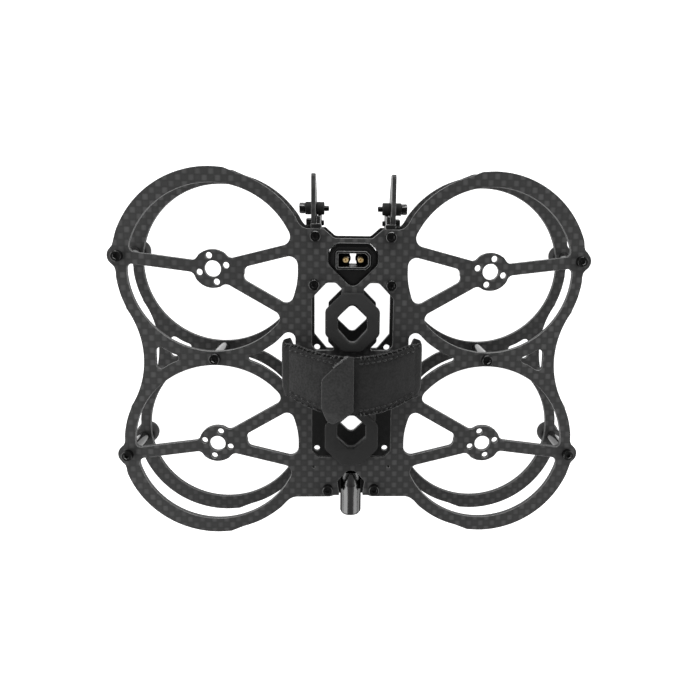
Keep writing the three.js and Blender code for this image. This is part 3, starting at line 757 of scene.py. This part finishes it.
def band(path, edges, thick, closed, fray, seed, puff=0.0):
    """A strip of webbing along a path of (x, z) points. edges(point) gives its rear and front
    y, and the strip's section is a flat oval with soft edges."""
    rng = random.Random(seed)
    count = len(path)
    shares = [i / CLOTH_CELLS for i in range(CLOTH_CELLS + 1)]
    section = [(share, 1) for share in shares] + [(share, -1) for share in reversed(shares)]
    verts, faces = [], []
    wander = [0.0, 0.0]
    for n, point in enumerate(path):
        before = path[n - 1] if n or closed else path[0]
        after = path[(n + 1) % count] if n < count - 1 or closed else path[-1]
        way = (after - before).normalized()
        normal = Vector((-way.y, way.x))
        rear, front = edges(point)
        wander = [w * 0.7 + rng.uniform(-fray, fray) for w in wander]
        for share, side in section:
            y = rear + wander[0] + (front + wander[1] - rear - wander[0]) * share
            edge = abs(2 * share - 1)
            half = thick / 2 * (1 - edge**8) ** 0.5 if edge < 1 else 0.0
            half = max(half, thick * 0.12)
            swell = puff * (1 - edge**2)
            ripple = rng.uniform(-fray, fray) * 0.25
            spot = point + normal * (side * half + swell + ripple)
            verts.append((spot.x, y, spot.y))
    ring = len(section)
    last = count if closed else count - 1
    for n in range(last):
        m = (n + 1) % count
        for j in range(ring):
            k = (j + 1) % ring
            faces.append([n * ring + j, n * ring + k, m * ring + k, m * ring + j])
    if not closed:
        faces.append(list(range(ring))[::-1])
        faces.append([(count - 1) * ring + j for j in range(ring)])
    return verts, faces


def loop_path(lift):
    """The closed path of the strap round the frame, seen from the front."""
    side = SIDE_X + lift
    under = BOTTOM_Z - 0.6 - lift
    points = [Vector((0, under)), Vector((side, under)), Vector((side, TOP_Z + 0.4))]
    points += [arch_point(1 - 2 * i / 40, lift) for i in range(41)]
    points += [Vector((-side, TOP_Z + 0.4)), Vector((-side, under))]
    return resampled(softened(points, 1.4, closed=True), 0.5, closed=True)


def eased(value, low, high):
    t = min(1, max(0, (value - low) / (high - low)))
    return t * t * (3 - 2 * t)


def strap():
    def edges(point):
        if point.y < BOTTOM_Z:
            ends, spread = (LOW_SIDE_Y, RUN_Y), eased(-abs(point.x), -19, -14.5)
        elif point.y < TOP_Z:
            ends, spread = (SIDE_Y, LOW_SIDE_Y), (TOP_Z - point.y) / (TOP_Z - BOTTOM_Z)
        else:
            ends, spread = (SIDE_Y, band_y(point.x)), eased(point.y, TOP_Z + 0.6, TOP_Z + 3.6)
        return tuple(a + (b - a) * spread for a, b in zip(*ends))

    lift = CLOTH_T / 2
    path = loop_path(lift)
    verts, faces = band(path, edges, CLOTH_T, True, fray=0.07, seed=3)
    # the band's darker colour is partly painted shade under the sewn layers
    made = piece("battery_strap_webbing", Shape().add(verts, faces), ["ground"],
                 stands_for=["battery_strap"], sharp=60)


def strap_layer(name, first, last, material, seed):
    """A padded layer that is sewn on to the strap, from one place over the arch to another."""
    path = [arch_point(first + (last - first) * i / 60, CLOTH_T + 0.24) for i in range(61)][::-1]
    path = resampled(path, 0.5)

    def edges(point):
        rear, front = band_y(point.x)
        return rear + 0.6, front - 0.6

    verts, faces = band(path, edges, 0.6, False, fray=0.03, seed=seed, puff=0.24)
    made = piece(name, Shape().add(verts, faces), [material], sharp=60)


TAIL_LOW, TAIL_HIGH = box("strap_free_end")
TAIL_LIFT = CLOTH_T + 1.0
TAIL_T = 0.95


def strap_tail():
    """The free end of the strap: it lies over the left-hand stretch and hangs past its rear
    edge, with one corner cut off and one rounded."""
    hinge_x = TAIL_HIGH.x
    end_x = TAIL_LOW.x + 0.2
    rear_y, front_y = -19.3, 4.1
    outline = polygon([
        (hinge_x, -14.2, 0.3), (hinge_x, front_y, 0.5), (-1.3, front_y, 0.8), (-5.8, 0.4, 4),
        (end_x, -3.9, 3), (end_x, -13.5, 8), (-8.2, -18.2, 1.4), (-6.4, rear_y, 1.0), (-4.4, -17.9, 2),
    ], 8)
    outline = resampled(outline, 0.45, closed=True)
    rng = random.Random(11)
    outline = [p + Vector((rng.uniform(-0.05, 0.05), rng.uniform(-0.05, 0.05))) for p in outline]
    verts, faces, _ = slab([outline], 0, TAIL_T, 0.4, 3)
    mesh = bmesh.new()
    for v in verts:
        mesh.verts.new(v)
    mesh.verts.ensure_lookup_table()
    for face in faces:
        mesh.faces.new([mesh.verts[i] for i in face])
    cuts = [((hinge_x - 0.8 * i, 0, 0), (1, 0, 0)) for i in range(1, 12)]
    cuts += [((0, rear_y + 1.5 * i, 0), (0, 1, 0)) for i in range(1, 15)]
    for place, across in cuts:
        geometry = mesh.verts[:] + mesh.edges[:] + mesh.faces[:]
        bmesh.ops.bisect_plane(mesh, geom=geometry, plane_co=place, plane_no=across)
    for v in mesh.verts:
        spot = arch_point(v.co.x / (ARCH_HALF + TAIL_LIFT), TAIL_LIFT)
        droop = 2.2 * eased(-v.co.y, 13.5, 19.5) * eased(-v.co.x, -1, 9)
        wave = 0.22 * math.sin(v.co.y * 0.45) * eased(-v.co.x, 0, 6)
        v.co.z = spot.y + v.co.z - droop + wave
    mesh.verts.index_update()
    shape = Shape().add([v.co.copy() for v in mesh.verts], [[v.index for v in f.verts] for f in mesh.faces])
    mesh.free()
    made = piece("strap_free_end_webbing", shape, ["pile"], "strap_tail",
                 stands_for=["strap_free_end"], sharp=60)
    flat = abs(area(outline))


def strand(points, radius, sides=5):
    """A thin closed tube through points."""
    verts, faces = [], []
    for n, point in enumerate(points):
        way = (points[min(n + 1, len(points) - 1)] - points[max(n - 1, 0)]).normalized()
        side = way.orthogonal().normalized()
        other = way.cross(side)
        width = radius if 0 < n < len(points) - 1 else radius * 0.6
        for j in range(sides):
            a = 2 * math.pi * j / sides
            verts.append(point + (side * math.cos(a) + other * math.sin(a)) * width)
    for n in range(len(points) - 1):
        for j in range(sides):
            k = (j + 1) % sides
            faces.append([n * sides + j, n * sides + k, (n + 1) * sides + k, (n + 1) * sides + j])
    faces.append(list(range(sides))[::-1])
    faces.append([(len(points) - 1) * sides + j for j in range(sides)])
    return verts, faces


REAR, FRONT = 0, 1
PUCKER_STEPS = ((0, 0), (0.3, 0.13), (0.7, 0.13), (1, 0))
PUCKER_ROWS = ((-0.85, -0.16, (FRONT,)), (-0.85, -0.44, (REAR,)), (0.08, 0.85, (REAR, FRONT)))
RIM_ROWS = ((-0.93, -0.09, (FRONT,)), (-0.93, -0.44, (REAR,)), (0.07, 0.93, (REAR, FRONT)))
FUZZ_ROWS = ((-0.95, -0.44, REAR, 60), (-0.95, -0.09, FRONT, 100),
             (0.07, 0.95, REAR, 90), (0.07, 0.95, FRONT, 260))


def on_strap(u, edge, inside, lift):
    """A point over the arch, a distance inside the strap's rear or front edge."""
    spot = arch_point(u, lift)
    y = band_y(spot.x)[edge] + (-inside if edge == FRONT else inside)
    return Vector((spot.x, y, spot.y))


def strap_stitches():
    """A row of puckers inside both long edges, and a blanket stitch over each edge."""
    rows, rims = Shape(), Shape()
    rng = random.Random(21)
    top = CLOTH_T + 0.02
    for first, last, edges in PUCKER_ROWS:
        count = round((last - first) * ARCH_HALF / 1.7)
        for i in range(count):
            start = first + (last - first) * (i + 0.12) / count
            end = first + (last - first) * (i + 0.78) / count
            for edge in edges:
                run = [on_strap(start + (end - start) * t, edge, 1.9, top + 0.6 + rise)
                       for t, rise in PUCKER_STEPS]
                rows.add(*strand(run, 0.28, 6))
    for first, last, edges in RIM_ROWS:
        count = round((last - first) * ARCH_HALF / 1.35)
        step = (last - first) / count
        for i in range(count):
            u = first + step * (i + rng.uniform(0.3, 0.7))
            for edge in edges:
                over = [(rng.uniform(0.5, 1.0), 0.66), (0.4, 0.6), (-0.14, -0.3), (-0.14, -0.8)]
                lean = rng.uniform(-0.008, 0.014)
                run = [on_strap(u + lean * n, edge, inside, top + lift)
                       for n, (inside, lift) in enumerate(over)]
                rims.add(*strand(run, rng.uniform(0.16, 0.27), 6))
                along = [on_strap(u + step * t, edge, -0.2, top - 0.35) for t in (0, 0.5, 1.0)]
                rims.add(*strand(along, rng.uniform(0.14, 0.24), 6))
    piece("battery_strap_stitches", rows, ["patch"], sharp=80)
    piece("battery_strap_edge_stitches", rims, ["thread"], sharp=80)


def strap_fuzz():
    """Loose fibres along the strap's cut edges, most of them along the right-hand front edge."""
    shape = Shape()
    rng = random.Random(31)
    for first, last, edge, count in FUZZ_ROWS:
        outward = 1 if edge == FRONT else -1
        for _ in range(count):
            u = rng.uniform(first, last)
            root = on_strap(u, edge, 0.15, CLOTH_T * rng.uniform(0.3, 0.95))
            lean = Vector((rng.uniform(-0.5, 0.5), outward * rng.uniform(0.1, 0.4), rng.uniform(-0.1, 0.3)))
            curl = Vector((rng.uniform(-0.3, 0.3), outward * rng.uniform(-0.1, 0.15), rng.uniform(-0.2, 0.2)))
            shape.add(*strand([root, root + lean * 0.6, root + lean + curl], 0.04, 3))
    piece("battery_strap_fuzz", shape, ["fuzz"], sharp=80)


def tail_fuzz():
    """Frayed fibres along the cut corner of the free end."""
    shape = Shape()
    rng = random.Random(37)
    for _ in range(150):
        t = rng.random()
        root = Vector((-5.9 + 4.6 * t, 0.35 + 3.7 * t, 0))
        lift = TAIL_LIFT + rng.uniform(0.3, 0.9)
        spot = arch_point(root.x / (ARCH_HALF + lift), lift)
        root = Vector((spot.x, root.y - 0.1, spot.y))
        run = [root, root + Vector((rng.uniform(-0.4, 0.1), rng.uniform(0.1, 0.4), rng.uniform(0, 0.3)))]
        run.append(run[1] + Vector((rng.uniform(-0.5, 0.3), rng.uniform(-0.1, 0.3), rng.uniform(-0.3, 0.1))))
        shape.add(*strand(run, 0.07, 3))
    piece("strap_free_end_fuzz", shape, ["fuzz"], "strap_tail", sharp=80)


# ---- power connector ----
def plug_outline(half_x, half_y, y, r):
    cut = half_y * 0.45
    corners = [(-half_x, -half_y), (half_x - cut, -half_y), (half_x, -half_y + cut), (half_x, half_y - cut)]
    corners += [(half_x - cut, half_y), (-half_x, half_y)]
    return polygon([(x, y + dy, r) for x, dy in corners])


def power_connector():
    """The shell with its floor and slot, and two gold pins in round collars."""
    low, high = box("power_connector_shell")
    y = (low.y + high.y) / 2
    half_x, half_y = high.x, (high.y - low.y) / 2
    bay = plug_outline(4.9, 2.25, y, 0.35)
    walls = slab([plug_outline(half_x, half_y, y, 0.8), bay], low.z + 3.2, high.z, 0.16, 3)
    pin_x = 2.5
    slot = polygon([(-1.3, y - 2.15, 0.2), (1.3, y - 2.15, 0.2), (0.8, y, 0.5),
                    (1.3, y + 1.95, 0.2), (-1.3, y + 1.95, 0.2), (-0.8, y, 0.5)])
    holes = [circle(side * pin_x, y, 1.03) for side in (-1, 1)]
    base = plug_outline(half_x - 0.05, half_y - 0.05, y, 0.7)
    floor = slab([base, slot, *holes], low.z, low.z + 3.1, 0.1, 1)
    # the walls' rounded edges take the light painted highlight colour
    marks = [2 * (mark == 2) for mark in walls[2]]
    shape = Shape().add(walls[0], walls[1], marks).add(floor[0], floor[1])
    piece("power_connector_housing", shape, ["plastic", "plastic", "rim_highlight"],
          stands_for=["power_connector_shell"], sharp=40)
    for side, sx in SIDES:
        node = f"power_pin_{side}"
        pin_low, pin_high = box(node)
        r = (pin_high.x - pin_low.x) / 2
        tip = pin_high.z
        rings = [(0, pin_low.z), (r, pin_low.z), (r, tip - 0.45), (r - 0.2, tip), (0.3, tip)]
        rings += [(0.26, tip - 0.9), (0, tip - 0.95)]
        centre = (pin_low + pin_high) / 2
        place = Matrix.Translation((centre.x, centre.y, 0))
        pin = Shape().add(*spun(round_rings(rings, 0.15), 32), place=place)
        piece(f"{node}_contact", pin, ["gold"], stands_for=[node], sharp=40)
        sleeve = [(r + 0.02, low.z + 3.0), (r + 0.75, low.z + 3.0), (r + 0.75, low.z + 5.2),
                  (r + 0.5, low.z + 5.6), (r + 0.02, low.z + 5.6)]
        collar = Shape().add(*spun(round_rings(sleeve), 32, closed=True), place=place)
        piece(f"{node}_collar", collar, ["collar"], sharp=40)


def bevelled_copy(node, name, materials, width):
    """The CAD node's own shape with its hard edges rounded over. A second material goes on the
    rounded edges."""
    mesh = bmesh.new()
    mesh.from_mesh(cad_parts[node].data)
    bmesh.ops.remove_doubles(mesh, verts=mesh.verts, dist=1e-6)
    bmesh.ops.dissolve_limit(mesh, angle_limit=math.radians(1), verts=mesh.verts, edges=mesh.edges)
    mesh.normal_update()
    hard = [e for e in mesh.edges if len(e.link_faces) == 2 and e.calc_face_angle() > math.radians(32)]
    bmesh.ops.bevel(mesh, geom=hard, offset=width * MM, offset_type="OFFSET", segments=2,
                    affect="EDGES", profile=0.5, clamp_overlap=True, material=len(materials) - 1)
    bmesh.ops.remove_doubles(mesh, verts=mesh.verts, dist=1e-6)
    mesh.verts.index_update()
    faces = [[v.index for v in f.verts] for f in mesh.faces]
    shape = Shape().add([v.co / MM for v in mesh.verts], faces, [f.material_index for f in mesh.faces])
    mesh.free()
    piece(name, shape, materials, stands_for=[node], sharp=40)


# ---- camera mount ----
def camera_mount():
    for side, sx in SIDES:
        carbon_plate(f"camera_plate_{side}")
        body = f"camera_pivot_{side}"
        out = (sx, 0, 0)
        screw(f"camera_pivot_screw_{side}", HEAD, out, body, thread_from=3.5)
        screw(f"camera_clamp_screw_{side}", CLAMP_HEAD, out, thread_from=2.0)
        for part in ("washer", "bobbin"):
            sleeve(f"camera_{part}_{side}", sx, body)
        # the bracket's rounded edges take a pale painted glint
        bevelled_copy(f"camera_bracket_{side}", f"camera_bracket_{side}_block", ["plastic", "edge_glint"],
                      0.22)


def sleeve(node, sx, body):
    """A short rubber sleeve round the pivot screw."""
    low, high = box(node)
    middle = (low + high) / 2
    half = (high.x - low.x) / 2
    r = (high.y - low.y) / 2
    profile = [(1.02, -half), (r, -half), (r, half), (1.02, half)]
    verts, faces = spun(round_rings(profile, 0.22, closed=True), 36, closed=True)
    shape = Shape().add(verts, faces, place=facing(middle, (sx, 0, 0)))
    piece(f"{node}_rubber", shape, ["foot"], body, stands_for=[node])


# ---- antenna tube ----
def antenna_tube():
    low, high = box("antenna_tube")
    centre = (low + high) / 2
    length = high.y - low.y
    flare = (high.x - low.x) / 2
    r = flare - 0.45
    bore, tip_bore = 2.9, 1.6
    profile = [(bore, 0.3), (bore + 0.2, 0), (r - 0.45, 0), (r, 0.7), (r, length - 8), (flare, length - 4.2)]
    profile += [(flare, length - 3.9), (2.3, length), (tip_bore, length)]
    profile += [(tip_bore, length - 5), (bore, length - 6.3)]
    verts, faces = spun(round_rings(profile, 0.2, closed=True), 72, closed=True)
    place = facing((centre.x, low.y, centre.z), (0, 1, 0))
    piece("antenna_tube_barrel", Shape().add(verts, faces, place=place), ["tube"],
          stands_for=["antenna_tube"], sharp=35)


def tube_holder():
    """The printed block round the tube, with a lip on both sides under the top plate."""
    bevelled_copy("antenna_tube_holder", "antenna_tube_holder_block", ["holder"], 0.2)
    low, high = box("antenna_tube_holder")
    lips = Shape()
    for _, sx in SIDES:
        left, right = sorted((sx * 3.5, sx * 5.3))
        corners = [(left, low.y + 0.2), (right, low.y + 0.2), (right, high.y), (left, high.y)]
        outline = polygon([(x, y, 0.15) for x, y in corners])
        verts, faces, _ = slab([outline], high.z - 0.9, high.z - 0.1, 0.1, 1)
        lips.add(verts, faces)
    piece("antenna_tube_holder_lips", lips, ["holder"])


# ---- studio ----
def make_floor():
    mesh = bpy.data.meshes.new("floor")
    half = 3.0
    corners = [(-half, -half, 0), (half, -half, 0), (half, half, 0), (-half, half, 0)]
    mesh.from_pydata(corners, [], [[0, 1, 2, 3]])
    material = bpy.data.materials.new("floor_white")
    material.use_nodes = True
    shader = material.node_tree.nodes["Principled BSDF"]
    shader.inputs["Base Color"].default_value = grey(0.8)
    shader.inputs["Roughness"].default_value = 0.9
    shader.inputs["Specular IOR Level"].default_value = 0.1
    shader.inputs["Emission Color"].default_value = grey(1.0)
    shader.inputs["Emission Strength"].default_value = 1.0
    mesh.materials.append(material)
    floor = bpy.data.objects.new("floor", mesh)
    bpy.context.collection.objects.link(floor)


def softbox(name, place, size, power):
    """A rectangular light that looks at the middle of the frame."""
    data = bpy.data.lights.new(name, "AREA")
    data.shape = "RECTANGLE"
    data.size, data.size_y = size
    data.energy = power
    light = bpy.data.objects.new(name, data)
    light.location = place
    aim = Vector((0, 0, TOP_Z * MM)) - Vector(place)
    light.rotation_euler = aim.to_track_quat("-Z", "Y").to_euler()
    bpy.context.collection.objects.link(light)


def make_sky():
    """An even white surround that darkens overhead, as in a light tent with the camera above."""
    world = bpy.data.worlds.new("studio")
    bpy.context.scene.world = world
    world.use_nodes = True
    nodes, links = world.node_tree.nodes, world.node_tree.links
    place = nodes.new("ShaderNodeTexCoord")
    split = nodes.new("ShaderNodeSeparateXYZ")
    ramp = nodes.new("ShaderNodeValToRGB")
    links.new(place.outputs["Generated"], split.inputs[0])
    links.new(split.outputs["Z"], ramp.inputs[0])
    links.new(ramp.outputs[0], nodes["Background"].inputs["Color"])
    stops = ((0.0, 0.9), (0.80, 0.75), (0.93, 0.35), (1.0, 0.25))
    elements = ramp.color_ramp.elements
    while len(elements) < len(stops):
        elements.new(0.5)
    for element, (height, tone) in zip(elements, stops):
        element.position = height
        element.color = grey(tone)
    nodes["Background"].inputs["Strength"].default_value = 0.32


def make_studio():
    make_floor()
    make_sky()
    softbox("light_left", (-0.85, -0.2, 0.45), (1.8, 0.8), 9)
    softbox("light_right", (0.85, -0.2, 0.5), (1.8, 0.7), 6)
    softbox("light_front", (0.0, 1.1, 0.5), (1.3, 0.4), 12)
    bpy.context.scene.view_settings.view_transform = "Standard"


make_camera()
MATERIALS = make_materials()
carbon_plate("top_plate")
carbon_plate("bottom_plate")
fasteners()
battery_pad("front_battery_pad")
battery_pad("rear_battery_pad")
strap()
strap_layer("battery_strap_patch", 0.02, 0.87, "patch", 5)
strap_layer("battery_strap_left_layer", -0.87, -0.02, "webbing", 6)
strap_tail()
strap_stitches()
strap_fuzz()
tail_fuzz()
power_connector()
bevelled_copy("connector_holder", "connector_holder_block", ["holder"], 0.2)
camera_mount()
antenna_tube()
tube_holder()
make_studio()
